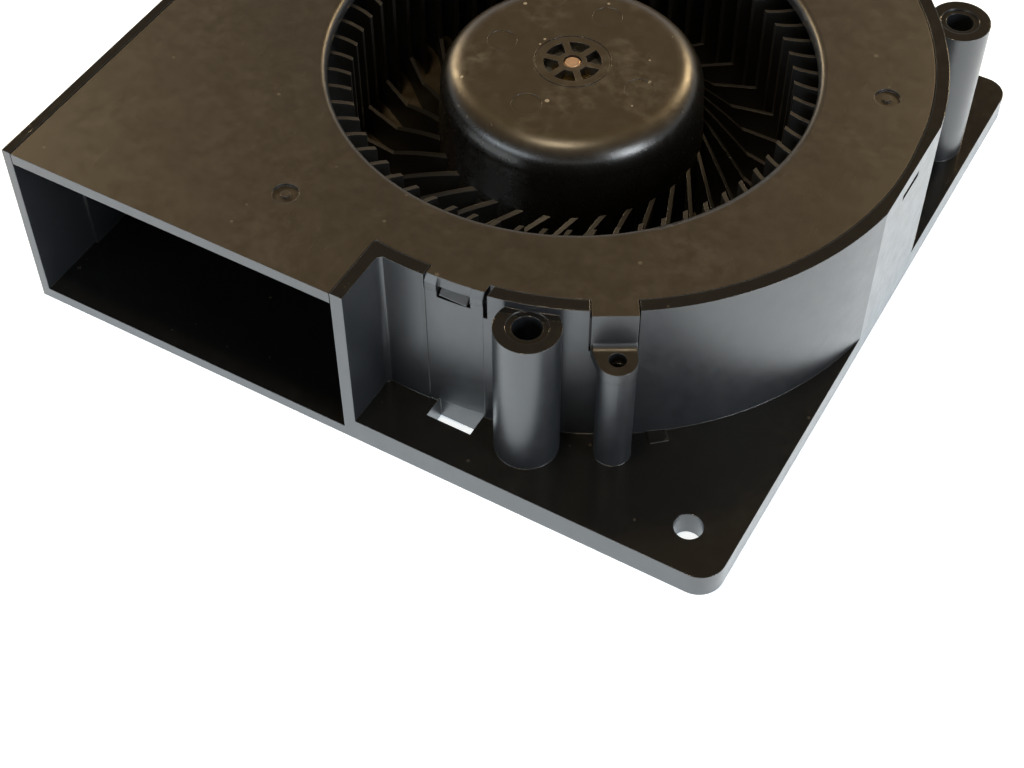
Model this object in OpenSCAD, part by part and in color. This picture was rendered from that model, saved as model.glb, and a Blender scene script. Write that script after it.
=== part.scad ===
// Radial (centrifugal) dc blower fan in a square flanged scroll housing.
// Origin: middle of the square footprint, on the mounting face. The outlet
// opens towards -Y, the inlet and the rotor axis point up along +Z.

/* [Frame] */
// Width of the square frame, along the outlet face
frame_w = 120; // [118:0.5:124]
// Depth of the square frame, from the outlet face to the back
frame_d = 120; // [118:0.5:124]
// Height of the housing over the closed cover
frame_h = 32; // [31:0.5:36]
// Thickness of the mounting flange around the scroll
flange_t = 4.4; // [3:0.1:6]
// Corner radius of the mounting flange
flange_corner_r = 4; // [2:0.5:6]
// Thickness of the floor inside the scroll
floor_t = 2; // [1.6:0.1:2.6]
// Distance from the right edge of the frame to the rotor axis
axis_from_right = 56.2; // [55.5:0.1:57]
// Distance from the outlet face to the rotor axis
axis_from_front = 61; // [60:0.5:62]

/* [Scroll] */
// Clearance between blade tips and the outside of the front wall
front_arc_gap = 10.3; // [9.5:0.05:11.5]
// Clearance between blade tips and the outside of the back wall
back_arc_gap = 13.25; // [13:0.05:15]
// Thickness of the scroll wall beside the cover
rim_t = 2.05; // [1.6:0.05:2.6]
// Width of the ledge that the cover rests on
ledge_w = 0.5; // [0.4:0.1:1.2]
// Rim thickness where the frame cuts the scroll flat
flat_rim_t = 0.95; // [0.8:0.05:1.4]
// Rim thickness of the straight outlet side wall
side_rim_t = 1.5; // [1.2:0.1:2]
// Outside width of the outlet duct
outlet_w = 60.4; // [57:0.1:63]
// Fillet where the outlet duct meets the scroll outside
throat_fillet_r = 1.5; // [0.5:0.1:3]
// Radius of the tongue edge inside the scroll
tongue_r = 1.2; // [0.4:0.1:2]
// Depth of the outlet mouth that has no cover ledge
mouth_depth = 12; // [6:0.5:20]

/* [Cover] */
// Thickness of the cover plate
cover_t = 2; // [1.6:0.1:2.6]
// Gap between the edge of the cover and the rim around it
cover_gap = 0.15; // [0.1:0.05:0.3]
// How far the cover lies below the top of the rim
cover_drop = 0.1; // [0:0.05:0.3]
// Radius of the inlet throat
inlet_r = 38.5; // [36:0.1:39]
// Rounding of the inlet lip
inlet_lip_r = 1.2; // [0.6:0.1:1.5]

/* [Mounting] */
// Radius of every mounting hole
screw_r = 2.2; // [1.8:0.05:2.4]
// Outside radius of the screw posts
post_r = 4.9; // [4:0.1:5.5]
// Top of the screw posts, below the top of the frame
post_drop = 1.3; // [0:0.1:2]
// Radius of the shallow ring step on top of each post
post_step_r = 3.1; // [2.6:0.1:3.5]
// Distance of the front post from the right edge
front_post_x = 35.2; // [34:0.1:36]
// Distance of the front post from the outlet face
front_post_y = 9.2; // [8.5:0.1:9.8]
// Distance of the rear post from the right edge
rear_post_x = 6.7; // [6:0.1:7]
// Distance of the rear post from the back edge
rear_post_y = 20.1; // [19:0.1:22]
// Distance of each flange hole from the two nearest edges
flange_hole_inset = 7.5; // [6.5:0.05:8]

/* [Latches] */
// Width of the cover's front snap
snap_w = 9.1; // [8:0.1:10]
// Gap between the snap and the right side of its notch
snap_side_gap = 0.7; // [0.3:0.1:1.2]
// Distance of the front snap from the outlet duct
snap_from_duct = 7.5; // [6:0.1:9]
// Height of the snap legs
snap_h = 2.5; // [2.2:0.1:3]
// Width of the catch in the middle of the snap
catch_w = 4.5; // [4:0.1:6]
// Width of the slot in the flange under the snap
slot_w = 7.6; // [6:0.1:9]
// Depth of the slot in the flange, out from the scroll wall
slot_d = 4; // [3:0.1:5]
// Width of the screw ear on the cover
ear_w = 6.6; // [5.5:0.1:7]
// Direction of the screw ear, in degrees from +X about the front arc
ear_angle = -59.8; // [-63:0.2:-57]
// Height of the ear's foot above the mounting face
ear_foot_z = 23.5; // [20:0.1:26]
// Thickness of the ear's foot
ear_foot_t = 1.9; // [1.5:0.1:2.5]
// Reach of the ear's screw hole beyond the scroll wall
ear_reach = 3.2; // [3:0.1:4.5]
// Radius of the ear's rounded foot
ear_foot_r = 2.9; // [2.6:0.1:3.2]
// Radius of the ear's screw hole
ear_hole_r = 1.3; // [1:0.1:1.6]

/* [Impeller] */
// Radius over the blades
blade_r = 42.6; // [41:0.1:43]
// Radius at which the tall part of each blade begins
blade_tall_r = 34.9; // [34:0.1:36]
// Thickness of a blade
blade_t = 0.65; // [0.5:0.05:0.9]
// Number of blades; every second one reaches in to the hub
blade_count = 62; // [40:2:64]
// Gap between the top of the blades and the cover
blade_top_gap = 1.3; // [1:0.1:2.5]
// Radius of the forward curve of each blade
blade_arc_r = 12; // [8:0.5:16]
// Distance at which the line of each long blade passes the rotor axis
vane_offset = 18; // [15:0.5:20]
// Height of the long blades where they meet the hub
vane_z = 17.5; // [15:0.1:20]
// Height of the long blades beyond their slope
vane_low_z = 12.2; // [9:0.1:14]
// Radius at the foot of the long blades' slope
vane_foot_r = 29; // [26:0.5:32]
// Flare of the hub's side towards the back plate
hub_flare = 1.4; // [0:0.1:2]
// Gap between the back plate and the floor
plate_gap = 3; // [2:0.1:4]
// Thickness of the back plate
plate_t = 1.2; // [0.8:0.1:2]
// Width and height of the rim ring around the blade tops
tip_ring_w = 1.3; // [1:0.1:2]
// Height of the rim ring
tip_ring_h = 1.6; // [1:0.1:3]
// Outside radius of the hub
hub_r = 21; // [20.5:0.1:22]
// Hub top, below the top of the frame
hub_drop = 1.5; // [0.5:0.1:2]
// Rounding of the hub's top edge
hub_edge_r = 4.5; // [2:0.1:6]
// Wall of the hub cup
hub_wall = 1.6; // [1.3:0.1:2]
// Outside radius of the spoked openings in the hub
vent_r = 4.6; // [4:0.1:6]
// Number of spokes around the shaft boss
vent_spokes = 6; // [4:1:8]

/* [Motor] */
// Radius of the rotor shaft
shaft_r = 1.5; // [1.5:0.05:1.6]
// Thickness of the steel yoke
yoke_t = 1.1; // [0.8:0.1:1.4]
// Thickness of the ring magnet
magnet_t = 2.4; // [1.8:0.1:3]
// Height of the ring magnet
magnet_h = 14; // [10:0.5:15]
// Air gap between magnet and stator
air_gap = 0.35; // [0.3:0.05:0.6]
// Height of the stator's steel stack
stack_h = 9; // [7:0.5:10]
// Height of the stack's middle above the floor
stack_mid = 12.5; // [12:0.5:14]
// Number of stator poles
pole_count = 4; // [4:2:6]
// Thickness of a bearing
bearing_h = 4; // [3.5:0.1:4]
// Outside radius of a bearing
bearing_r = 4; // [3.9:0.05:4.2]
// Wall of the bearing tube
tube_wall = 1.2; // [1:0.1:1.5]
// Thickness of the circuit board
board_t = 1; // [0.8:0.1:1.6]

/* [Hidden] */
$fn = 96;

// Front and right edges of the front arc, moved in by inset
function arc_front_y(x, inset) = axis_y + front_arc[0][1]
    - sqrt(pow(front_arc[1] - inset, 2) - pow(x - axis_x - front_arc[0][0], 2));
function arc_right_x(y, inset) = axis_x + front_arc[0][0]
    + sqrt(pow(front_arc[1] - inset, 2) - pow(y - axis_y - front_arc[0][1], 2));

// small clearances
cut = 0.5;           // overshoot of a cut past a face
run_gap = 0.05;      // running clearance of the ball tracks
seat_gap = 0.1;      // clearance between assembled pieces

// frame edges and rotor axis
right_x = frame_w / 2;
left_x = -frame_w / 2;
front_y = -frame_d / 2;
back_y = frame_d / 2;
axis_x = right_x - axis_from_right;
axis_y = front_y + axis_from_front;

// scroll arcs: [centre offset from the rotor axis, outside radius]
front_arc = [[4.2, 1.4], blade_r + front_arc_gap];
back_arc = [[1, 4.3], blade_r + back_arc_gap];
corner_arc = [[-1.3, 0], axis_x - 1.3 - left_x];
wall_t = rim_t + ledge_w;
duct_x = left_x + outlet_w;

// cover
cover_top = frame_h - cover_drop;
cover_z = cover_top - cover_t;

// posts and holes
post_top = frame_h - post_drop;
post_places = [[right_x - front_post_x, front_y + front_post_y],
    [right_x - rear_post_x, back_y - rear_post_y]];
hole_places = [[right_x - flange_hole_inset, front_y + flange_hole_inset],
    [left_x + flange_hole_inset, back_y - flange_hole_inset]];

// front snap, between the duct and the front post
front_arc_y = axis_y + front_arc[0][1] - front_arc[1];
snap_x = duct_x + snap_from_duct;
snap_z = cover_top - snap_h;
catch_x = snap_x + (snap_w - catch_w) / 2;
catch_gap = 0.4;                     // beside the catch
catch_under = 0.6;                   // open height under the catch
catch_front_z = snap_z - 0.6;
catch_drop = 0.1;                    // from the cover's underside to the catch
snap_side_drop = 2.2;                // the groove on the snap's right goes lower by this
panel_depth = 0.15;                  // of the shallow panel under the snap
tab_inset = 0.7;                     // from the scroll wall to the tab's middle
tab_in_y = arc_front_y(snap_x + snap_w, wall_t) + 0.8;
slot_x = snap_x + snap_w - slot_w - 0.3;
slot_y = front_arc_y + 0.9 - slot_d;

// side snap, in the flat right wall
side_snap_y = axis_y - 1.2;
side_snap_w = 6.2;
side_wall_x = min(right_x - flat_rim_t - ledge_w, arc_right_x(side_snap_y + side_snap_w, wall_t));
hook_z = cover_z - 1.5;
hook_h = 1.1;
hook_t = 1.25;

// screw ear: its leg lies in a groove in the scroll wall
ear_leg_t = 1.5;
ear_leg_out = 0.75;                  // the leg stands proud of the wall by this
ear_boss_r = ear_foot_r - 0.1;
ear_foot_y = ear_w / 2 - ear_foot_r; // the foot is rounded off on one side

// impeller heights
tip_z = cover_z - blade_top_gap;
plate_z = floor_t + plate_gap;
hub_top = frame_h - hub_drop;
plate_top = plate_z + plate_t;
plate_r = blade_r - tip_ring_w - 2 * seat_gap;
ring_ir = blade_r - tip_ring_w;
ring_z = tip_z - tip_ring_h;
flare_z = hub_top - hub_edge_r - 1;

// impeller blades, at rest
wheel_turn = 7.6;
blade_lean = asin(vane_offset / blade_tall_r);
vane_len = blade_tall_r * cos(blade_lean);

// motor stack
yoke_r = hub_r - hub_wall - seat_gap;
magnet_r = yoke_r - yoke_t - seat_gap / 2;
stator_r = magnet_r - magnet_t - air_gap;
tube_ir = bearing_r;
tube_r = tube_ir + tube_wall;
stack_z = floor_t + stack_mid - stack_h / 2;
yoke_roof = hub_top - hub_wall - seat_gap - yoke_t;
bush_r = 3.2;
bush_flange_t = 1.2;
spring_room = 2;
tube_top = yoke_roof - bush_flange_t - spring_room;
lower_bearing_z = floor_t + 1.4;
upper_bearing_z = tube_top - bearing_h - 0.4;
clip_t = 0.4;
clip_z = lower_bearing_z - clip_t - 0.15;
groove_d = 0.35;
shaft_z = 1.4;
shaft_top = hub_top - 0.1;
cap_t = 1;
ball_r = 0.79;
pitch_r = (shaft_r + bearing_r) / 2;
ball_count = 7;
race_t = 0.65;

// stator, its plastic liner and its coils
stator_hub_r = tube_r + 3;
tooth_w = 4.5;
shoe_t = 2;
liner_w = tooth_w + 0.8;
liner_t = 0.7;
liner_inset = 0.4;
coil_t = 1.2;

// circuit board
board_z = floor_t + 2.2;
board_r = stator_r + 0.6;

module at_axis(z = 0) {
    translate([axis_x, axis_y, z]) children();
}

module ring(r_out, r_in, h) {
    difference() {
        cylinder(r = r_out, h = h);
        translate([0, 0, -cut]) cylinder(r = r_in, h = h + 2 * cut);
    }
}

module box(from, to) {
    translate(from) cube(to - from);
}

// ---------- scroll outline ----------

module arc_disc(arc, inset) {
    translate([axis_x, axis_y] + arc[0]) circle(r = arc[1] - inset, $fn = 180);
}

// Outline of the scroll and its outlet duct, moved inwards by the wall:
// inset on the curved wall, flat on the right and back, side on the left.
module scroll_outline(inset = 0, flat = 0, side = 0, front_over = 0) {
    intersection() {
        translate([left_x + side, front_y - front_over])
            square([frame_w - side - flat, frame_d - flat + front_over]);
        union() {
            arc_disc(front_arc, inset);
            arc_disc(back_arc, inset);
            intersection() {
                arc_disc(corner_arc, side);
                translate([left_x, axis_y + corner_arc[0][1]])
                    square([axis_x + corner_arc[0][0] - left_x, frame_d]);
            }
            translate([left_x, front_y - cut])
                square([outlet_w - inset, axis_y + corner_arc[0][1] - front_y + cut]);
            if (inset > 0) tongue_corner(inset);
        }
    }
}

// What rounding the tongue's edge takes off the wall
module tongue_corner(inset) {
    arc_y = arc_front_y(duct_x - inset + tongue_r, inset);
    translate([duct_x - inset, arc_y - tongue_r]) difference() {
        translate([-cut, 0]) square([tongue_r + cut, tongue_r + cut]);
        translate([tongue_r, 0]) circle(r = tongue_r, $fn = 48);
        translate([-2 * cut, -1]) square([2 * cut, 1]);
    }
}

module rim_outline(gap = 0, front_over = 0) {
    scroll_outline(rim_t + gap, flat_rim_t + gap, side_rim_t + gap, front_over);
}

// The cavity is narrower than the cover by the ledge, except at the outlet
module cavity_outline() {
    scroll_outline(wall_t, flat_rim_t + ledge_w, side_rim_t + ledge_w, cut);
    intersection() {
        rim_outline(0, cut);
        translate([left_x, front_y - cut]) square([outlet_w, mouth_depth + cut]);
    }
}

// Concave fillet where the duct's side wall runs into the scroll
module throat_fillet() {
    corner_y = arc_front_y(duct_x + throat_fillet_r, 0);
    translate([duct_x, corner_y - throat_fillet_r]) difference() {
        translate([-cut, 0]) square([throat_fillet_r + cut, throat_fillet_r + cut]);
        translate([throat_fillet_r, 0]) circle(r = throat_fillet_r, $fn = 48);
    }
}

module flange_outline() {
    r = flange_corner_r;
    union() {
        translate([left_x, front_y]) square([frame_w - r, frame_d - r]);
        translate([left_x + r, front_y + r]) square([frame_w - r, frame_d - 2 * r]);
        translate([left_x + r, front_y]) square([frame_w - 2 * r, frame_d]);
        for (p = [[right_x - r, front_y + r], [right_x - r, back_y - r], [left_x + r, back_y - r]])
            translate(p) circle(r = r, $fn = 64);
    }
}

// ---------- housing ----------

ear_wall_r = front_arc[1];
ear_root = ear_wall_r - wall_t - 1;

// Frame on the centre of the front arc with x pointing out along the ear
module at_ear(z = 0) {
    translate(front_arc[0]) at_axis(z) rotate([0, 0, ear_angle]) children();
}

module screw_posts() {
    for (p = post_places) translate(p) cylinder(r = post_r, h = post_top);
    at_ear() translate([ear_wall_r + ear_reach, ear_foot_y, 0]) {
        cylinder(r = ear_boss_r, h = ear_foot_z, $fn = 64);
        translate([-ear_reach - rim_t / 2, -1, 0]) cube([ear_reach, 2, ear_foot_z - 1]);
    }
}

pilot_r = 1;
pilot_depth = 10;

module screw_bores() {
    for (p = post_places) translate(p) {
        translate([0, 0, -cut]) cylinder(r = screw_r, h = post_top + 2 * cut);
        translate([0, 0, post_top - 0.25]) cylinder(r = post_step_r, h = 1);
    }
    for (p = hole_places) translate([p[0], p[1], -cut])
        cylinder(r = screw_r, h = flange_t + 2 * cut);
    at_ear(ear_foot_z - pilot_depth) translate([ear_wall_r + ear_reach, ear_foot_y, 0])
        cylinder(r = pilot_r, h = pilot_depth + cut, $fn = 32);
}

// Notch in the rim for the snap, a deeper groove on its right, the pocket
// round its catch, and the slot in the flange that lets the mould form them
module snap_cuts() {
    out_y = front_arc_y - 1;
    box([snap_x - seat_gap, out_y, snap_z - seat_gap / 2],
        [snap_x + snap_w + snap_side_gap, tab_in_y + 0.2, frame_h + 1]);
    box([snap_x + snap_w, out_y, snap_z - snap_side_drop],
        [snap_x + snap_w + snap_side_gap, front_arc_y + wall_t - 0.4, frame_h + 1]);
    box([catch_x - catch_gap, out_y, catch_front_z - catch_under],
        [catch_x + catch_w + catch_gap, front_arc_y + wall_t - 1.1, frame_h + 1]);
    box([slot_x, slot_y, -cut], [slot_x + slot_w, slot_y + slot_d, flange_t + cut]);
    intersection() {
        box([snap_x, out_y, flange_t], [snap_x + snap_w, front_arc_y + wall_t / 2, snap_z]);
        linear_extrude(frame_h) difference() {
            scroll_outline(-cut);
            scroll_outline(panel_depth);
        }
    }
}

// The catch that the cover's snap rides over: a wedge with a sloped top
module snap_catch() {
    top_z = cover_z - catch_drop;
    in_y = front_arc_y + wall_t - 0.8;
    translate([catch_x, 0, 0]) rotate([90, 0, 90]) linear_extrude(catch_w) polygon([
        [front_arc_y + 0.25, catch_front_z - 0.1], [front_arc_y + 0.25, catch_front_z],
        [front_arc_y + 1.15, top_z], [in_y, top_z], [in_y, catch_front_z - 0.1]]);
}

// Window in the flat right wall for the hook of the side snap
module side_snap_cuts() {
    box([right_x - 5, side_snap_y, hook_z], [right_x + 1, side_snap_y + side_snap_w, hook_z + hook_h]);
}

// Small raised pad on the flange, in front of the scroll
module flange_pad() {
    pad_w = 2.9;
    translate([right_x - 19, front_y + 20.1, flange_t]) rotate(-48.5)
        translate([-pad_w / 2, -pad_w / 2, -cut]) cube([pad_w, pad_w, cut + 0.2]);
}

// Notch in the rim for the ear, and the groove in the wall for its leg
module ear_cuts() {
    side = ear_w / 2 + 2 * seat_gap;
    leg_in = ear_wall_r + ear_leg_out - ear_leg_t - seat_gap;
    at_ear(cover_z - seat_gap) translate([ear_root, -side, 0])
        cube([ear_reach + wall_t, 2 * side, frame_h]);
    at_ear(ear_foot_z) translate([leg_in, -side, 0])
        cube([ear_wall_r + 2 * seat_gap - leg_in, 2 * side, frame_h]);
}

module base_housing() {
    color([0.13, 0.12, 0.11]) difference() {
        union() {
            linear_extrude(flange_t) flange_outline();
            linear_extrude(frame_h) union() {
                scroll_outline();
                throat_fillet();
            }
            flange_pad();
            screw_posts();
        }
        translate([0, 0, floor_t]) linear_extrude(frame_h) cavity_outline();
        translate([0, 0, cover_z]) linear_extrude(frame_h) rim_outline(0, cut);
        screw_bores();
        snap_cuts();
        side_snap_cuts();
        ear_cuts();
        at_axis(-cut) cylinder(r = tube_r, h = floor_t + 2 * cut);
    }
    color([0.13, 0.12, 0.11]) snap_catch();
}

// ---------- cover ----------

// Two legs straddle the catch, flush with the wall; between them the plate
// stops short above it. The front edge is chamfered along the wall's arc.
module snap_tab() {
    r = front_arc[1];
    chamfer_h = 1.3;
    leg_w = catch_x - catch_gap - snap_x;
    difference() {
        union() {
            intersection() {
                for (x = [snap_x, snap_x + snap_w - leg_w])
                    box([x, front_arc_y - 1, snap_z], [x + leg_w, tab_in_y, cover_top]);
                linear_extrude(cover_top) scroll_outline(seat_gap / 2);
            }
            intersection() {
                box([snap_x + cut, front_arc_y - 1, cover_z],
                    [snap_x + snap_w - cut, tab_in_y, cover_top]);
                linear_extrude(cover_top) scroll_outline(tab_inset);
            }
        }
        translate(front_arc[0]) at_axis(cover_top) rotate_extrude($fn = 180)
            polygon([[r - tab_inset, 0], [r, -chamfer_h], [r + 1, -chamfer_h], [r + 1, 1],
                [r - tab_inset, 1]]);
    }
}

// Hook of the side snap, reaching down inside the wall and out into its window
module side_snap() {
    y = side_snap_y + seat_gap;
    w = side_snap_w - 2 * seat_gap;
    h = hook_h - 2 * seat_gap;
    in_x = side_wall_x - seat_gap - hook_t;
    box([in_x, y, hook_z + seat_gap], [in_x + hook_t, y + w, cover_z + cut]);
    translate([in_x + hook_t - 0.4, y + w, hook_z + seat_gap]) rotate([90, 0, 0]) linear_extrude(w)
        polygon([[0, 0], [hook_t, h / 2], [hook_t, h], [0, h]]);
}

// Where the straight side of the foot meets its rounded end, from the corner
// of the leg: the tangent from a point to a circle
function tangent_dir(d, r) = atan2(d[1], d[0]) - asin(r / norm(d));
function tangent_point(from, d, r) = from
    + sqrt(d * d - r * r) * [cos(tangent_dir(d, r)), sin(tangent_dir(d, r))];

module ear_foot() {
    leg = ear_wall_r + ear_leg_out;
    corner = [leg, -ear_w / 2];
    hole = [ear_wall_r + ear_reach, ear_foot_y];
    translate(hole) circle(r = ear_foot_r, $fn = 64);
    polygon([corner - [ear_leg_t, 0], corner, tangent_point(corner, hole - corner, ear_foot_r),
        hole, [hole[0], ear_w / 2], [leg - ear_leg_t, ear_w / 2]]);
}

// Plate, leg and foot of the ear, drawn down from the cover's top face
module screw_ear() {
    leg = ear_wall_r + ear_leg_out;
    ear_t = cover_t - 0.2;
    foot_z = ear_foot_z - cover_top;
    fillet_r = 1;
    at_ear(cover_top) difference() {
        union() {
            translate([0, ear_w / 2, 0]) rotate([90, 0, 0]) linear_extrude(ear_w)
                polygon([[ear_root, 0], [leg, 0], [leg, foot_z], [leg - ear_leg_t, foot_z],
                    [leg - ear_leg_t, -ear_t], [ear_root, -ear_t]]);
            translate([0, 0, foot_z]) linear_extrude(ear_foot_t) ear_foot();
            translate([leg, ear_w / 2, foot_z + ear_foot_t]) rotate([90, 0, 0])
                linear_extrude(ear_w - 0.3) difference() {
                    translate([-cut, -cut]) square(fillet_r + cut);
                    translate([fillet_r, fillet_r]) circle(r = fillet_r, $fn = 32);
                }
        }
        translate([ear_wall_r + ear_reach, ear_foot_y, foot_z - 1])
            cylinder(r = ear_hole_r, h = ear_foot_t + 2, $fn = 48);
    }
}

// Moulding marks in the cover, from the rotor axis
cover_marks = [[-21.9, -47.6], [46.7, 14.9]];

module cover_plate() {
    difference() {
        translate([0, 0, cover_z]) linear_extrude(cover_t) rim_outline(cover_gap);
        at_axis(cover_z - cut) cylinder(r = inlet_r, h = cover_t + 2 * cut, $fn = 180);
        at_axis(cover_top - inlet_lip_r) rotate_extrude($fn = 180) difference() {
            translate([inlet_r - 1, 0]) square([inlet_lip_r + 1, inlet_lip_r + cut]);
            translate([inlet_r + inlet_lip_r, 0]) circle(r = inlet_lip_r, $fn = 48);
        }
        for (p = cover_marks) translate(p) at_axis(cover_top - 0.4) difference() {
            cylinder(r = 2, h = 1, $fn = 32);
            cylinder(r = 0.7, h = 0.3, $fn = 24);
        }
    }
}

module top_cover() {
    color([0.2, 0.17, 0.14]) union() {
        cover_plate();
        snap_tab();
        side_snap();
        screw_ear();
    }
}

// ---------- impeller ----------

// Part of a thin ring between two directions
module arc_strip(centre, r, from, to) {
    reach = 2 * r;
    mid = (from + to) / 2;
    translate(centre) intersection() {
        difference() {
            circle(r = r + blade_t / 2, $fn = 96);
            circle(r = r - blade_t / 2, $fn = 96);
        }
        polygon([[0, 0], reach * [cos(from), sin(from)], reach * [cos(mid), sin(mid)] * 1.2,
            reach * [cos(to), sin(to)]]);
    }
}

// Every blade curves forward from its lean at the foot to straight out at the
// rim. Every second one goes on inwards from there along its tangent, as a low
// straight vane that ends on the hub.
module blade_plan() {
    arc_strip([blade_tall_r, 0] + blade_arc_r * [sin(blade_lean), cos(blade_lean)], blade_arc_r,
        -98 - blade_lean, -72);
}

module vane_plan() {
    translate([blade_tall_r, 0]) rotate(-blade_lean) translate([-vane_len, -blade_t / 2])
        square([vane_len + 1, blade_t]);
}

module around_wheel(step) {
    for (i = [0 : step : blade_count - 1]) rotate(wheel_turn + i * 360 / blade_count) children();
}

function hub_side_r(z) = hub_r + hub_flare * (flare_z - z) / (flare_z - plate_z);

// Tall blades, seated on the plate and its rim and notched for the rim ring
module impeller_blades() {
    color([0.15, 0.14, 0.12]) at_axis() intersection() {
        linear_extrude(tip_z) around_wheel(1) blade_plan();
        rotate_extrude($fn = 180) polygon([[blade_tall_r, plate_top], [plate_r, plate_top],
            [plate_r, plate_z], [blade_r, plate_z], [blade_r, ring_z], [ring_ir, ring_z],
            [ring_ir, tip_z], [blade_tall_r, tip_z]]);
    }
}

module impeller_vanes() {
    color([0.15, 0.14, 0.12]) at_axis() intersection() {
        linear_extrude(vane_z) around_wheel(2) vane_plan();
        rotate_extrude($fn = 180) polygon([[hub_side_r(plate_top), plate_top],
            [blade_tall_r, plate_top], [blade_tall_r, vane_low_z], [vane_foot_r, vane_low_z],
            [hub_side_r(vane_z), vane_z]]);
    }
}

module impeller_ring() {
    color([0.15, 0.14, 0.12]) at_axis(ring_z) ring(blade_r + 2 * seat_gap, ring_ir, tip_ring_h);
}

// Half section of the cup shared by the hub and the yoke: moved in by inset
// and open below from_z
module cup_profile(inset, from_z) {
    edge_r = hub_edge_r - inset;
    top = hub_top - inset;
    translate([0, from_z]) square([hub_r - inset, top - edge_r - from_z]);
    translate([0, top - edge_r]) square([hub_r - hub_edge_r, edge_r]);
    translate([hub_r - hub_edge_r, top - edge_r]) intersection() {
        circle(r = edge_r, $fn = 64);
        square(edge_r);
    }
}

// Half section of the hub's flared side and the back plate that it ends in
module skirt_profile() {
    in_r = hub_r - hub_wall / 2;
    polygon([[in_r, plate_z], [plate_r, plate_z], [plate_r, plate_top],
        [hub_side_r(plate_top), plate_top], [hub_side_r(flare_z + 1), flare_z + 1],
        [in_r, flare_z + 1]]);
}

module vent_openings() {
    boss_r = 2.3;
    difference() {
        ring(vent_r, boss_r, 4);
        for (i = [0 : vent_spokes - 1]) rotate(i * 360 / vent_spokes + 12)
            translate([0, -0.55, -1]) cube([vent_r + 1, 1.1, 6]);
    }
}

// Ejector marks in the hub's top: [direction, distance from the axis, radius]
hub_marks = [[-97, 12.2, 2.4], [-3, 12.2, 2.4], [91, 12.2, 2.4], [185, 12.2, 2.4], [130, 15.6, 1.9]];

module impeller_hub() {
    mark_r = 6.15;
    color([0.15, 0.14, 0.12]) at_axis() difference() {
        union() {
            rotate_extrude($fn = 180) cup_profile(0, plate_z);
            rotate_extrude($fn = 180) skirt_profile();
        }
        rotate_extrude($fn = 180) cup_profile(hub_wall, plate_z - cut);
        translate([0, 0, hub_top - 2.5]) vent_openings();
        translate([0, 0, hub_top - 3]) cylinder(r = shaft_r, h = 4);
        translate([0, 0, hub_top - 0.12]) ring(mark_r, mark_r - 0.25, 1);
        for (m = hub_marks) rotate(m[0]) translate([m[1], 0, hub_top - 0.08])
            cylinder(r = m[2], h = 1, $fn = 48);
    }
}

// ---------- rotor ----------

module rotor_yoke() {
    inset = hub_wall + seat_gap;
    color("silver") at_axis() difference() {
        rotate_extrude($fn = 120) difference() {
            cup_profile(inset, plate_z + 1);
            cup_profile(inset + yoke_t, plate_z);
        }
        translate([0, 0, yoke_roof - 1]) cylinder(r = bush_r + 0.02, h = 5);
    }
}

module ring_magnet() {
    z = stack_z + stack_h / 2 - magnet_h / 2;
    color([0.2, 0.2, 0.22]) at_axis(z) ring(magnet_r, magnet_r - magnet_t, magnet_h);
}

// Turned bush that joins the shaft to the yoke
module shaft_bush() {
    color("goldenrod") at_axis() translate([0, 0, yoke_roof - bush_flange_t]) difference() {
        union() {
            cylinder(r = bush_r + 1.2, h = bush_flange_t);
            cylinder(r = bush_r, h = bush_flange_t + yoke_t);
        }
        translate([0, 0, -cut]) cylinder(r = shaft_r, h = 6);
    }
}

module rotor_shaft() {
    color("goldenrod") at_axis() rotate_extrude($fn = 64) polygon([[0, shaft_z],
        [shaft_r - 0.3, shaft_z], [shaft_r, shaft_z + 0.3], [shaft_r, clip_z - 0.05],
        [shaft_r - groove_d, clip_z - 0.05], [shaft_r - groove_d, clip_z + clip_t + 0.05],
        [shaft_r, clip_z + clip_t + 0.05], [shaft_r, shaft_top - 0.4], [shaft_r - 0.4, shaft_top],
        [0, shaft_top]]);
}

module retaining_clip() {
    color("dimgray") at_axis(clip_z) difference() {
        ring(2.6, shaft_r - groove_d + 0.05, clip_t);
        translate([0, -0.5, -1]) cube([4, 1, 3]);
    }
}

// ---------- bearings ----------

module race_cut() {
    translate([0, 0, bearing_h / 2]) rotate_extrude() translate([pitch_r, 0])
        circle(r = ball_r + run_gap, $fn = 48);
}

module inner_race() {
    difference() {
        ring(shaft_r + race_t, shaft_r, bearing_h);
        race_cut();
    }
}

module outer_race() {
    difference() {
        union() {
            ring(bearing_r, bearing_r - race_t, bearing_h);
            for (z = [0.15, bearing_h - 0.35]) translate([0, 0, z])
                ring(bearing_r - race_t / 2, shaft_r + race_t + 0.15, 0.2);
        }
        race_cut();
    }
}

module ball_set() {
    translate([0, 0, bearing_h / 2]) {
        for (i = [0 : ball_count - 1]) rotate(i * 360 / ball_count)
            translate([pitch_r, 0, 0]) sphere(r = ball_r, $fn = 32);
        difference() {
            translate([0, 0, 0.45]) ring(pitch_r + 0.3, pitch_r - 0.3, 0.6);
            for (i = [0 : ball_count - 1]) rotate(i * 360 / ball_count)
                translate([pitch_r, 0, 0]) sphere(r = ball_r + run_gap, $fn = 32);
        }
    }
}

module upper_bearing_outer() {
    color("lightgray") at_axis(upper_bearing_z) outer_race();
}

module lower_bearing_outer() {
    color("lightgray") at_axis(lower_bearing_z) outer_race();
}

module upper_bearing_inner() {
    color("lightgray") at_axis(upper_bearing_z) inner_race();
}

module lower_bearing_inner() {
    color("lightgray") at_axis(lower_bearing_z) inner_race();
}

module upper_bearing_balls() {
    color("white") at_axis(upper_bearing_z) ball_set();
}

module lower_bearing_balls() {
    color("white") at_axis(lower_bearing_z) ball_set();
}

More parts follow.
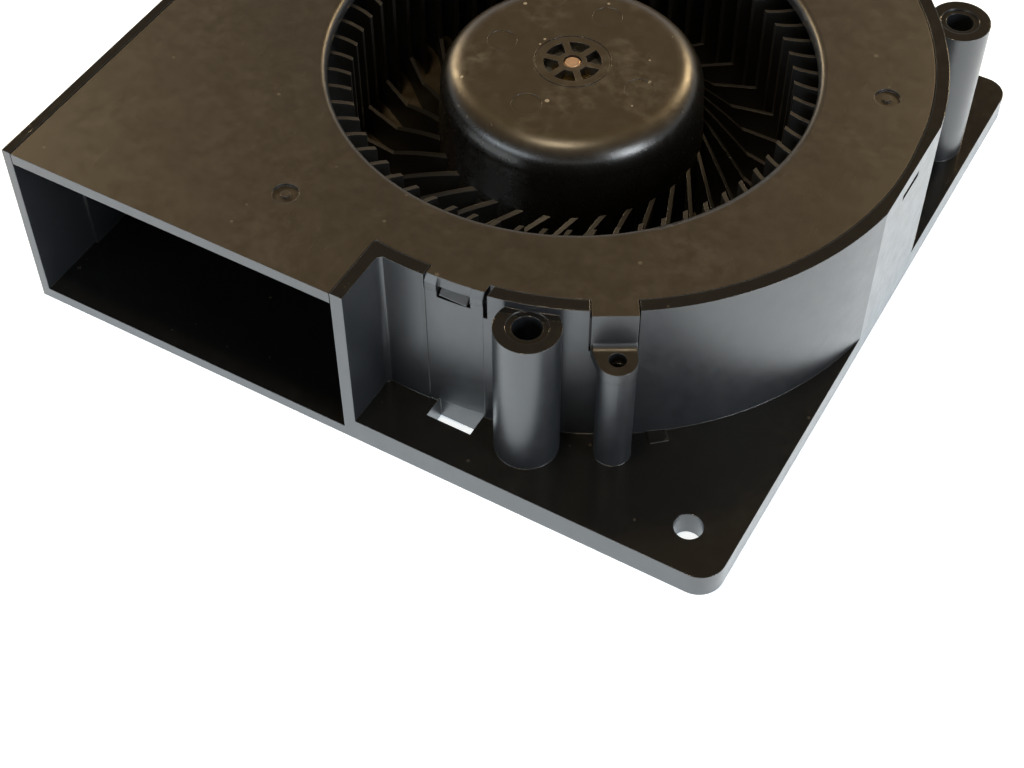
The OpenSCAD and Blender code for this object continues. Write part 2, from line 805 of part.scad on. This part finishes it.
// Tube pressed into the floor; a shoulder inside it parts the two bearings
module bearing_tube() {
    color("goldenrod") at_axis() difference() {
        union() {
            cylinder(r = tube_r - 0.02, h = tube_top);
            translate([0, 0, floor_t]) cylinder(r = tube_r + 2.5, h = 0.8);
        }
        translate([0, 0, -cut]) cylinder(r = tube_ir, h = lower_bearing_z + bearing_h + cut);
        cylinder(r = tube_ir - 0.9, h = tube_top);
        translate([0, 0, upper_bearing_z]) cylinder(r = tube_ir, h = tube_top);
    }
}

module bearing_cap() {
    color([0.1, 0.1, 0.1]) at_axis(0.1) {
        cylinder(r = tube_ir, h = cap_t);
    }
}

// Compression spring between the upper bearing and the rotor's bush
module preload_spring() {
    z0 = upper_bearing_z + bearing_h + 0.03;
    z1 = yoke_roof - bush_flange_t - 0.03;
    wire = 0.18;
    turns = 3;
    color("silver") at_axis() for (i = [0 : turns - 1])
        translate([0, 0, z0 + wire + i * (z1 - z0 - 2 * wire) / (turns - 1)])
            rotate_extrude($fn = 48) translate([shaft_r + 0.45, 0]) circle(r = wire, $fn = 16);
}

// ---------- stator ----------

module stator_plan(width, r_out, shoe_w, bore_r) {
    difference() {
        union() {
            circle(r = stator_hub_r, $fn = 64);
            for (i = [0 : pole_count - 1]) rotate(i * 360 / pole_count + 45)
                translate([0, -width / 2]) square([r_out - shoe_t / 2, width]);
            intersection() {
                difference() {
                    circle(r = r_out, $fn = 120);
                    circle(r = r_out - shoe_t, $fn = 120);
                }
                for (i = [0 : pole_count - 1]) rotate(i * 360 / pole_count + 45)
                    polygon([[0, 0], [r_out * 2, -shoe_w], [r_out * 2, shoe_w]]);
            }
        }
        circle(r = bore_r, $fn = 64);
    }
}

module stator_core() {
    color([0.35, 0.36, 0.38]) at_axis(stack_z) linear_extrude(stack_h)
        stator_plan(tooth_w, stator_r, 26, tube_r + 0.02);
}

module insulator(flip) {
    z = flip ? stack_z : stack_z + stack_h;
    color([0.1, 0.3, 0.6]) at_axis(z) mirror([0, 0, flip ? 1 : 0]) {
        linear_extrude(liner_t) stator_plan(liner_w, stator_r - liner_inset, 24, tube_r + 0.05);
        ring(stator_hub_r - 0.4, stator_hub_r - 1.6, coil_t + 2);
        linear_extrude(coil_t + 1.4) intersection() {
            stator_plan(liner_w, stator_r - liner_inset, 20, tube_r + 0.05);
            difference() {
                circle(r = stator_r, $fn = 96);
                circle(r = stator_r - liner_inset - 0.9, $fn = 96);
            }
        }
    }
}

module upper_insulator() {
    insulator(false);
}

module lower_insulator() {
    insulator(true);
}

// Section of one coil round its pole, square to the pole
module coil_section() {
    half = [liner_w / 2 + seat_gap, stack_h / 2 + liner_t + 0.15];
    difference() {
        union() {
            square(2 * half + [2 * coil_t, 0], center = true);
            square(2 * half + [0, 2 * coil_t], center = true);
            for (x = [-1, 1], z = [-1, 1]) translate([x * half[0], z * half[1]]) circle(r = coil_t, $fn = 32);
        }
        square(2 * half, center = true);
    }
}

module stator_coils() {
    half_w = liner_w / 2 + seat_gap + coil_t;
    coil_in = stator_hub_r + 2 * seat_gap;
    coil_out = sqrt(pow(stator_r - liner_inset - shoe_t, 2) - half_w * half_w) - seat_gap;
    color([0.72, 0.36, 0.16]) at_axis(stack_z + stack_h / 2)
        for (i = [0 : pole_count - 1]) rotate([0, 0, i * 360 / pole_count + 45])
            translate([coil_in, 0, 0]) rotate([90, 0, 90])
                linear_extrude(coil_out - coil_in) coil_section();
}

pin_angles = [22, 68, 248];
pin_r = stator_r - 1.6;

module terminal_pins() {
    color("goldenrod") at_axis() for (a = pin_angles) rotate(a)
        translate([pin_r, 0, board_z - 0.6]) cylinder(r = 0.3, h = stack_z - 0.75 - board_z + 0.6, $fn = 24);
}

// ---------- circuit board ----------

module circuit_board() {
    color("darkgreen") at_axis(board_z) difference() {
        cylinder(r = board_r, h = board_t, $fn = 96);
        translate([0, 0, -cut]) cylinder(r = tube_r + 2.8, h = board_t + 2 * cut);
        for (a = pin_angles) rotate(a) translate([pin_r, 0, -cut]) cylinder(r = 0.35, h = 3, $fn = 24);
        rotate(-30) translate([board_r - 2, -5, -cut]) cube([5, 10, 3]);
    }
}

board_top = board_z + board_t;

module hall_sensor() {
    color("black") at_axis(board_top) rotate([0, 0, 180]) {
        translate([stator_r - 2.6, -1.5, 0.3]) cube([1.4, 3, 1.1]);
        for (y = [-1, 0, 1]) translate([stator_r - 2.6 + 0.5, y - 0.15, 0]) cube([0.3, 0.3, 0.31]);
    }
}

module driver_chip() {
    color("black") at_axis(board_z - 1.5) rotate([0, 0, 120]) {
        translate([tube_r + 3.3, -2, 0.1]) cube([4, 4, 1.2]);
        for (y = [-1.5 : 1 : 1.5]) for (x = [tube_r + 2.85, tube_r + 7.3])
            translate([x, y - 0.2, 0.6]) cube([0.45, 0.4, 0.9]);
    }
}

module board_capacitors() {
    color("tan") at_axis(board_z - 1.01) for (a = [200, 300]) rotate([0, 0, a])
        translate([tube_r + 4.5, -0.8, 0.01]) cube([3, 1.6, 1]);
}

module board_resistors() {
    color("black") at_axis(board_z - 0.5) for (a = [20, 60, 80, 160]) rotate([0, 0, a])
        translate([tube_r + 5, -0.6, 0]) cube([2, 1.2, 0.5]);
}

base_housing();
top_cover();
bearing_tube();
bearing_cap();
upper_bearing_outer();
lower_bearing_outer();
stator_core();
upper_insulator();
lower_insulator();
stator_coils();
terminal_pins();
circuit_board();
hall_sensor();
driver_chip();
board_capacitors();
board_resistors();
impeller_hub();
impeller_vanes();
impeller_blades();
impeller_ring();
rotor_yoke();
ring_magnet();
rotor_shaft();
shaft_bush();
upper_bearing_inner();
lower_bearing_inner();
preload_spring();
retaining_clip();
upper_bearing_balls();
lower_bearing_balls();
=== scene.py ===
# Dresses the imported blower: procedural plastic, metal and circuit materials on
# the CAD nodes, a wound preload spring, a plain studio and the camera.
import math

import bpy
from mathutils import Matrix, Vector


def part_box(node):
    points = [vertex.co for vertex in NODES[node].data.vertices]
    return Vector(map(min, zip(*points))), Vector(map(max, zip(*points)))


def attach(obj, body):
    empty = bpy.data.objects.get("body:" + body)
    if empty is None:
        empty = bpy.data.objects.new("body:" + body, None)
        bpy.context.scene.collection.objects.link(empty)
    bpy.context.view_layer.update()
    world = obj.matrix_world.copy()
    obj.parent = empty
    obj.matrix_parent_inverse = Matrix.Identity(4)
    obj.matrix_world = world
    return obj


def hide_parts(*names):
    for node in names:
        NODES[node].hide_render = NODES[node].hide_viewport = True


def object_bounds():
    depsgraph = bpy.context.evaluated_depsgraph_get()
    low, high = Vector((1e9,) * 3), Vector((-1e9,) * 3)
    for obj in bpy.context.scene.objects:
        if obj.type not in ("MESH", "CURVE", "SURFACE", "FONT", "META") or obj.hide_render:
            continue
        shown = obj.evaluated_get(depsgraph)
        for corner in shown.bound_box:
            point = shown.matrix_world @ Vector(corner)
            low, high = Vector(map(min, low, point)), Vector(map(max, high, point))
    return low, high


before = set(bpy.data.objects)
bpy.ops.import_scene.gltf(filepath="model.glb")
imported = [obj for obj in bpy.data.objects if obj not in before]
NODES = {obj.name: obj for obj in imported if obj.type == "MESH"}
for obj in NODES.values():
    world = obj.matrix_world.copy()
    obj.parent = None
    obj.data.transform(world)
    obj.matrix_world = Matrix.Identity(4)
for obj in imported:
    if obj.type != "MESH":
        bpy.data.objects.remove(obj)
CAD_LOW, CAD_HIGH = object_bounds()
MM = 0.001
AXIS_MM = (3.8, 1.0)  # the rotor axis in X and Y


# ---------------------------------------------------------------- camera

IMAGE_WIDTH = 1024
FOCAL_PIXELS = 1833.5
AIM_MM = (15.54, -38.93, 0)  # the point at the mounting plane in mid view
DISTANCE_MM = 285.98
AZIMUTH = math.radians(-29.87)
ELEVATION = math.radians(50.81)
ROLL = math.radians(-0.23)


def make_camera():
    look = Vector((math.sin(AZIMUTH) * math.cos(ELEVATION),
                   math.cos(AZIMUTH) * math.cos(ELEVATION),
                   -math.sin(ELEVATION)))
    flat_right = look.cross(Vector((0, 0, 1))).normalized()
    flat_up = flat_right.cross(look)
    right = flat_right * math.cos(ROLL) + flat_up * math.sin(ROLL)
    up = flat_up * math.cos(ROLL) - flat_right * math.sin(ROLL)
    data = bpy.data.cameras.new("camera")
    data.sensor_width = 36
    data.lens = FOCAL_PIXELS / IMAGE_WIDTH * data.sensor_width
    data.clip_start = 0.01
    data.clip_end = 10
    camera = bpy.data.objects.new("camera", data)
    bpy.context.scene.collection.objects.link(camera)
    turn = Matrix((right, up, -look)).transposed().to_4x4()
    place = Vector(AIM_MM) * MM - look * DISTANCE_MM * MM
    camera.matrix_world = Matrix.Translation(place) @ turn
    bpy.context.scene.camera = camera


# ---------------------------------------------------------------- node graphs

def rgba(value):
    return (*value, 1) if isinstance(value, tuple) else value


def shade(colour, factor):
    return tuple(factor * c for c in colour)


class Graph:
    """A material's node tree, with short calls for the nodes used below."""

    def __init__(self, name):
        self.material = bpy.data.materials.new(name)
        self.material.use_nodes = True
        self.tree = self.material.node_tree
        self.tree.nodes.clear()
        self.output = self.tree.nodes.new("ShaderNodeOutputMaterial")
        self.bsdf = self.tree.nodes.new("ShaderNodeBsdfPrincipled")
        self.link(self.bsdf.outputs[0], self.output.inputs["Surface"])
        coordinates = self.tree.nodes.new("ShaderNodeTexCoord")
        self.place = coordinates.outputs["Object"]
        self.normal = coordinates.outputs["Normal"]

    def link(self, source, target):
        self.tree.links.new(source, target)

    def put(self, socket, value):
        if isinstance(value, bpy.types.NodeSocket):
            self.link(value, socket)
        else:
            socket.default_value = value

    def math(self, operation, a, b=0.0):
        node = self.tree.nodes.new("ShaderNodeMath")
        node.operation = operation
        self.put(node.inputs[0], a)
        self.put(node.inputs[1], b)
        return node.outputs[0]

    def scaled(self, scale):
        node = self.tree.nodes.new("ShaderNodeMapping")
        node.inputs["Scale"].default_value = scale
        self.link(self.place, node.inputs["Vector"])
        return node.outputs[0]

    def noise(self, scale, detail, roughness, place=None):
        node = self.tree.nodes.new("ShaderNodeTexNoise")
        node.inputs["Scale"].default_value = scale
        node.inputs["Detail"].default_value = detail
        node.inputs["Roughness"].default_value = roughness
        self.link(place or self.place, node.inputs["Vector"])
        return node.outputs["Fac"]

    def specks(self, scale, size):
        """1 inside small round specks, at most one to a cell of a random grid."""
        node = self.tree.nodes.new("ShaderNodeTexVoronoi")
        node.inputs["Scale"].default_value = scale
        self.link(self.place, node.inputs["Vector"])
        chance = self.tree.nodes.new("ShaderNodeSeparateColor")
        self.link(node.outputs["Color"], chance.inputs[0])
        few_large = self.math("POWER", chance.outputs[0], 6.0)
        radius = self.math("MULTIPLY", few_large, size)
        return self.math("LESS_THAN", node.outputs["Distance"], radius)

    def ramp(self, value, low, high, start=0.0, end=1.0):
        """Maps value from low..high to start..end, held at the ends."""
        node = self.tree.nodes.new("ShaderNodeMapRange")
        self.put(node.inputs["Value"], value)
        node.inputs["From Min"].default_value = low
        node.inputs["From Max"].default_value = high
        node.inputs["To Min"].default_value = start
        node.inputs["To Max"].default_value = end
        return node.outputs[0]

    def mix(self, amount, a, b):
        node = self.tree.nodes.new("ShaderNodeMix")
        node.data_type = "RGBA"
        self.put(node.inputs["Factor"], amount)
        self.put(node.inputs[6], rgba(a))
        self.put(node.inputs[7], rgba(b))
        return node.outputs[2]

    def facing_up(self):
        """1 on faces that look up, 0 on walls and slopes over about 53 degrees."""
        split = self.tree.nodes.new("ShaderNodeSeparateXYZ")
        self.link(self.normal, split.inputs[0])
        return self.ramp(split.outputs["Z"], 0.6, 0.95)

    def rounded(self, radius_mm):
        """The normal with edges rounded to the radius."""
        node = self.tree.nodes.new("ShaderNodeBevel")
        node.samples = 4
        node.inputs["Radius"].default_value = radius_mm * MM
        return node.outputs[0]

    def edge(self, rounded):
        """1 on edges and corners, where the rounded normal leaves the true one."""
        geometry = self.tree.nodes.new("ShaderNodeNewGeometry")
        dot = self.tree.nodes.new("ShaderNodeVectorMath")
        dot.operation = "DOT_PRODUCT"
        self.link(rounded, dot.inputs[0])
        self.link(geometry.outputs["Normal"], dot.inputs[1])
        return self.ramp(dot.outputs["Value"], 0.995, 0.85)

    def bump(self, height, distance_mm, normal=None):
        node = self.tree.nodes.new("ShaderNodeBump")
        node.inputs["Distance"].default_value = distance_mm * MM
        node.inputs["Strength"].default_value = 1.0
        self.put(node.inputs["Height"], height)
        if normal is not None:
            self.link(normal, node.inputs["Normal"])
        return node.outputs[0]

    def finish(self, colour, roughness, normal=None, metallic=0.0, specular=0.5):
        self.put(self.bsdf.inputs["Base Color"], rgba(colour))
        self.put(self.bsdf.inputs["Roughness"], roughness)
        self.bsdf.inputs["Metallic"].default_value = metallic
        self.bsdf.inputs["Specular IOR Level"].default_value = specular
        if normal is not None:
            self.link(normal, self.bsdf.inputs["Normal"])
        return self.material


# ---------------------------------------------------------------- materials

DUST = (0.11, 0.095, 0.07)
SPECK = (0.26, 0.23, 0.18)
RUBBED = (0.07, 0.066, 0.06)


def moulded_plastic(name, side, top, dust, roughness, top_roughness, edge_mm):
    """Black satin plastic: spark-eroded grain, fine scratches and rubbed edges.
    Walls take the side colour; faces that look up take the top colour and roughness, and dust
    and specks. Where the side and top colours differ, the difference is painted light (a
    painted sheen on the walls, a painted reflection on the tops), except where a caller gives
    the top colour as dust."""
    g = Graph(name)
    up = g.facing_up()
    cloud = g.noise(90, 5, 0.6)
    patch = g.noise(420, 6, 0.65)
    grain = g.noise(9000, 2, 0.5)
    rounded = g.rounded(edge_mm)
    edge = g.edge(rounded)

    # Painted light: walls and tops get the side and top colours, lit and shaded copies of one
    # plastic; the lighter patches below keep that split.
    base = g.mix(up, side, top)
    faded = g.mix(up, shade(side, 1.2), shade(top, 1.3))
    base = g.mix(g.ramp(patch, 0.35, 0.75, 0.0, 0.2), base, faded)
    drift = g.math("MULTIPLY", g.ramp(cloud, 0.46, 0.74), g.ramp(patch, 0.42, 0.7))
    settled = g.math("MULTIPLY", g.math("MULTIPLY", drift, up), dust)
    base = g.mix(settled, base, DUST)
    speck_amount = g.math("MULTIPLY", up, min(1.0, dust * 2))
    base = g.mix(g.math("MULTIPLY", g.specks(420, 0.16), speck_amount), base, SPECK)
    worn = g.math("MULTIPLY", edge, g.ramp(patch, 0.3, 0.6, 0.1, 0.4))
    base = g.mix(worn, base, RUBBED)

    uneven = g.ramp(patch, 0.3, 0.7, -0.03, 0.05)
    rough = g.math("ADD", uneven, g.math("MULTIPLY", settled, 0.3))
    rough = g.math("ADD", rough, g.ramp(up, 0.0, 1.0, roughness, top_roughness))
    scratch = g.ramp(g.noise(2600, 2, 0.5, g.scaled((1, 0.06, 1))), 0.66, 0.70)
    relief = g.math("ADD", g.math("MULTIPLY", grain, 0.8), g.math("MULTIPLY", scratch, 0.4))
    return g.finish(base, rough, g.bump(relief, 0.010, rounded), specular=0.8)


def metal(name, colour, roughness, brushed=(1, 1, 1)):
    """Turned, ground or drawn metal, with fine lines stretched by the given scale."""
    g = Graph(name)
    lines = g.noise(2500, 3, 0.6, g.scaled(brushed))
    tarnish = g.noise(500, 4, 0.6)
    base = g.mix(g.ramp(tarnish, 0.35, 0.75, 0.0, 0.5), colour, shade(colour, 0.6))
    rough = g.ramp(lines, 0.3, 0.7, roughness - 0.08, roughness + 0.1)
    return g.finish(base, rough, g.bump(lines, 0.004, g.rounded(0.08)), metallic=1.0)


def ferrite(name):
    """Sintered magnet: dark, dull and grainy."""
    g = Graph(name)
    grain = g.noise(3500, 4, 0.7)
    base = g.mix(g.ramp(grain, 0.3, 0.8), (0.028, 0.027, 0.027), (0.085, 0.082, 0.08))
    rough = g.ramp(grain, 0.3, 0.7, 0.5, 0.75)
    return g.finish(base, rough, g.bump(grain, 0.02, g.rounded(0.1)))


def resin(name, colour, roughness=0.35):
    """Plain moulded or printed resin, a little cloudy."""
    g = Graph(name)
    cloud = g.noise(700, 4, 0.6)
    grain = g.noise(8000, 2, 0.5)
    base = g.mix(g.ramp(cloud, 0.3, 0.75, 0.0, 0.5), colour, shade(colour, 0.6))
    rough = g.ramp(cloud, 0.3, 0.7, roughness - 0.05, roughness + 0.1)
    return g.finish(base, rough, g.bump(grain, 0.006, g.rounded(0.1)))


WIRE_MM = 0.28  # the coils' wire


def wound_wire(name):
    """Enamelled copper: turns lie side by side along each pole. The poles stand
    at 45 degrees to X and Y about the rotor axis."""
    g = Graph(name)
    split = g.tree.nodes.new("ShaderNodeSeparateXYZ")
    g.link(g.place, split.inputs[0])
    x = g.math("SUBTRACT", split.outputs["X"], AXIS_MM[0] * MM)
    y = g.math("SUBTRACT", split.outputs["Y"], AXIS_MM[1] * MM)
    along = g.math("MAXIMUM", g.math("ABSOLUTE", g.math("ADD", x, y)),
                   g.math("ABSOLUTE", g.math("SUBTRACT", x, y)))
    waves = g.math("MULTIPLY", along, math.pi / (WIRE_MM * MM * math.sqrt(2)))
    turns = g.math("ABSOLUTE", g.math("SINE", waves))
    enamel = g.noise(1600, 3, 0.6)
    base = g.mix(g.ramp(enamel, 0.3, 0.75), (0.56, 0.17, 0.055), (0.36, 0.10, 0.035))
    # Painted shade: darker in the grooves between the turns.
    base = g.mix(g.ramp(turns, 0.0, 0.35, 0.75, 0.0), base, (0.05, 0.015, 0.006))
    g.bsdf.inputs["Coat Weight"].default_value = 0.5
    g.bsdf.inputs["Coat Roughness"].default_value = 0.2
    rough = g.ramp(enamel, 0.3, 0.7, 0.25, 0.4)
    return g.finish(base, rough, g.bump(turns, 0.08), metallic=0.9)


SMOOTH_ANGLE = math.radians(28)
BRASS = (0.72, 0.52, 0.24)


def paint_nodes():
    # Housing: the side colour, lighter and cooler than the near-black top, is a painted cool
    # sheen on the walls.
    housing = moulded_plastic(
        "housing_plastic", side=(0.0095, 0.0112, 0.0135), top=(0.006, 0.0062, 0.0062),
        dust=0.05, roughness=0.34, top_roughness=0.15, edge_mm=0.18)
    # Cover: the side colour is a painted cool sheen on the walls, the brown top colour a
    # painted warm reflection on the tops.
    cover = moulded_plastic(
        "cover_plastic", side=(0.0105, 0.0115, 0.0130), top=(0.0165, 0.0112, 0.0052),
        dust=0.10, roughness=0.36, top_roughness=0.40, edge_mm=0.18)
    # Hub: the brown top colour is a painted warm reflection on the tops, with real dust over
    # it.
    hub = moulded_plastic(
        "hub_plastic", side=(0.006, 0.0055, 0.0047), top=(0.029, 0.0205, 0.0100),
        dust=0.7, roughness=0.27, top_roughness=0.34, edge_mm=0.1)
    # Blades: the lighter top colour stands for dust on the blade tops.
    blades = moulded_plastic(
        "blade_plastic", side=(0.006, 0.0058, 0.0055), top=(0.020, 0.019, 0.018),
        dust=0.0, roughness=0.40, top_roughness=0.35, edge_mm=0.1)
    insulator = resin("insulator_blue", (0.06, 0.16, 0.36))
    chip = resin("chip_epoxy", (0.018, 0.018, 0.019), 0.5)
    ground_steel = metal("ground_steel", (0.66, 0.66, 0.67), 0.2)
    looks = {
        "base_housing": housing,
        "bearing_cap": housing,
        "top_cover": cover,
        "impeller_hub": hub,
        "impeller_vanes": blades,
        "impeller_blades": blades,
        "impeller_ring": blades,
        "bearing_tube": metal("tube_brass", BRASS, 0.30),
        "shaft_bush": metal("bush_brass", BRASS, 0.28),
        "rotor_shaft": metal("shaft_steel", (0.93, 0.66, 0.47), 0.40),
        "rotor_yoke": metal("yoke_zinc", (0.42, 0.42, 0.41), 0.38),
        "stator_core": metal("core_steel", (0.36, 0.37, 0.38), 0.42, (0.2, 0.2, 9)),
        "ring_magnet": ferrite("magnet_ferrite"),
        "upper_insulator": insulator,
        "lower_insulator": insulator,
        "circuit_board": resin("board_green", (0.012, 0.10, 0.035), 0.25),
        "stator_coils": wound_wire("copper_wire"),
        "terminal_pins": metal("tinned_pin", (0.72, 0.71, 0.68), 0.22),
        "hall_sensor": chip,
        "driver_chip": chip,
        "board_resistors": resin("resistor_black", (0.03, 0.03, 0.032), 0.4),
        "board_capacitors": resin("capacitor_ceramic", (0.42, 0.27, 0.14), 0.4),
    }
    for name, node in NODES.items():
        node.data.materials.clear()
        node.data.materials.append(looks.get(name, ground_steel))
        for face in node.data.polygons:
            face.use_smooth = True
        node.data.set_sharp_from_angle(angle=SMOOTH_ANGLE)


# ---------------------------------------------------------------- wound spring

SPRING_WIRE_R_MM = 0.18
SPRING_TURNS = 5
CLOSED_TURNS = 0.75  # at each end
CLOSED_PITCH = 2.1   # in radii of the wire
STEPS_A_TURN = 40
WIRE_SIDES = 10


def make_spring():
    """The preload spring as one helix, with its end turns closed up."""
    low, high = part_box("preload_spring")
    wire = SPRING_WIRE_R_MM * MM
    coil = (high.x - low.x) / 2 - wire
    closed_pitch = CLOSED_PITCH * wire
    open_turns = SPRING_TURNS - 2 * CLOSED_TURNS
    open_height = (high.z - low.z) - 2 * wire - 2 * CLOSED_TURNS * closed_pitch
    rings = STEPS_A_TURN * SPRING_TURNS
    verts, faces = [], []
    for i in range(rings + 1):
        turn = i / STEPS_A_TURN
        angle = 2 * math.pi * turn
        z = low.z + wire + min(turn, CLOSED_TURNS) * closed_pitch
        z += min(max(turn - CLOSED_TURNS, 0), open_turns) / open_turns * open_height
        z += max(turn - (SPRING_TURNS - CLOSED_TURNS), 0) * closed_pitch
        for j in range(WIRE_SIDES):
            a = 2 * math.pi * j / WIRE_SIDES
            r = coil + wire * math.cos(a)
            verts.append((AXIS_MM[0] * MM + r * math.cos(angle),
                          AXIS_MM[1] * MM + r * math.sin(angle),
                          z + wire * math.sin(a)))
    for i in range(rings):
        this, after = i * WIRE_SIDES, (i + 1) * WIRE_SIDES
        for j in range(WIRE_SIDES):
            k = (j + 1) % WIRE_SIDES
            faces.append((this + j, after + j, after + k, this + k))
    faces.append(tuple(range(WIRE_SIDES)))
    faces.append(tuple(rings * WIRE_SIDES + j for j in reversed(range(WIRE_SIDES))))
    mesh = bpy.data.meshes.new("spring_helix")
    mesh.from_pydata(verts, [], faces)
    mesh.validate()
    spring = bpy.data.objects.new("spring_helix", mesh)
    bpy.context.scene.collection.objects.link(spring)
    mesh.materials.append(metal("spring_steel", (0.60, 0.60, 0.61), 0.24))
    for face in mesh.polygons:
        face.use_smooth = len(face.vertices) == 4
    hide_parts("preload_spring")
    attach(spring, "rotor")


# ---------------------------------------------------------------- studio

LAMP_AIM = (0, 0, 0.02)
LAMPS = (  # name, place in metres, width and height, watts, colour
    ("overhead lamp", (-0.01, -0.12, 0.70), (0.08, 0.06), 1.8, (1.0, 0.80, 0.52)),
    ("left lamp", (-0.77, 0.32, 0.38), (0.10, 0.18), 3.0, (1.0, 0.74, 0.42)),
    ("right lamp", (0.16, 0.74, 0.46), (0.10, 0.10), 3.0, (1.0, 0.72, 0.38)),
    ("window", (-0.35, -0.85, 0.22), (0.7, 0.3), 3.5, (0.82, 0.92, 1.0)),
    ("side window", (0.85, -0.20, 0.20), (0.3, 0.7), 8, (0.90, 0.95, 1.0)),
)


def area_light(name, place, size, watts, colour):
    data = bpy.data.lights.new(name, "AREA")
    data.shape = "RECTANGLE"
    data.size, data.size_y = size
    data.energy = watts
    data.color = colour
    light = bpy.data.objects.new(name, data)
    light.location = place
    aim = Vector(LAMP_AIM) - Vector(place)
    light.rotation_euler = aim.to_track_quat("-Z", "Y").to_euler()
    bpy.context.scene.collection.objects.link(light)


FLOOR_REACH = 3.0
FLOOR_GAP_MM = 0.02      # below the mounting face
LIFT_SEEN = 0.75         # to the camera and through clear things
LIFT_MIRRORED = 1.7      # in glossy surfaces
LIFT_COLOUR = (0.78, 0.90, 1, 1)


def make_floor():
    """A white table: lit like any surface, with a lift that only camera, mirror
    and see-through rays meet, so that it reads white and still takes a shadow."""
    mesh = bpy.data.meshes.new("floor")
    z = CAD_LOW.z - FLOOR_GAP_MM * MM
    corners = [(x * FLOOR_REACH, y * FLOOR_REACH, z)
               for x, y in ((-1, -1), (1, -1), (1, 1), (-1, 1))]
    mesh.from_pydata(corners, [], [(0, 1, 2, 3)])
    floor = bpy.data.objects.new("floor", mesh)
    bpy.context.scene.collection.objects.link(floor)
    g = Graph("floor_white")
    g.finish((0.80, 0.80, 0.80), 0.9, specular=0.0)
    path = g.tree.nodes.new("ShaderNodeLightPath")
    seen = g.math("MAXIMUM", path.outputs["Is Camera Ray"], path.outputs["Is Transmission Ray"])
    mirrored = g.math("MULTIPLY", path.outputs["Is Glossy Ray"], LIFT_MIRRORED)
    strength = g.math("ADD", g.math("MULTIPLY", seen, LIFT_SEEN), mirrored)
    lift = g.tree.nodes.new("ShaderNodeEmission")
    lift.inputs["Color"].default_value = LIFT_COLOUR
    g.link(strength, lift.inputs["Strength"])
    add = g.tree.nodes.new("ShaderNodeAddShader")
    g.link(g.bsdf.outputs[0], add.inputs[0])
    g.link(lift.outputs[0], add.inputs[1])
    g.link(add.outputs[0], g.output.inputs["Surface"])
    mesh.materials.append(g.material)


# The height of the view direction and the colour of the room there
HORIZON = (0.12, (0.86, 0.94, 1.0, 1))
ROOM = (0.45, (0.16, 0.115, 0.07, 1))


def make_world():
    """Bright pale horizon under a dim warm room, and white to the camera."""
    world = bpy.data.worlds.new("room")
    bpy.context.scene.world = world
    world.use_nodes = True
    tree = world.node_tree
    tree.nodes.clear()
    output = tree.nodes.new("ShaderNodeOutputWorld")
    direction = tree.nodes.new("ShaderNodeTexCoord")
    split = tree.nodes.new("ShaderNodeSeparateXYZ")
    tree.links.new(direction.outputs["Generated"], split.inputs[0])
    ramp = tree.nodes.new("ShaderNodeValToRGB")
    tree.links.new(split.outputs["Z"], ramp.inputs[0])
    for stop, (height, colour) in zip(ramp.color_ramp.elements, (HORIZON, ROOM)):
        stop.position = height
        stop.color = colour
    room = tree.nodes.new("ShaderNodeBackground")
    tree.links.new(ramp.outputs[0], room.inputs["Color"])
    room.inputs["Strength"].default_value = 1.0
    white = tree.nodes.new("ShaderNodeBackground")
    white.inputs["Color"].default_value = (1, 1, 1, 1)
    path = tree.nodes.new("ShaderNodeLightPath")
    mix = tree.nodes.new("ShaderNodeMixShader")
    tree.links.new(path.outputs["Is Camera Ray"], mix.inputs[0])
    tree.links.new(room.outputs[0], mix.inputs[1])
    tree.links.new(white.outputs[0], mix.inputs[2])
    tree.links.new(mix.outputs[0], output.inputs[0])


make_camera()
paint_nodes()
make_spring()
make_world()
make_floor()
for lamp in LAMPS:
    area_light(*lamp)
bpy.context.scene.view_settings.view_transform = "Standard"
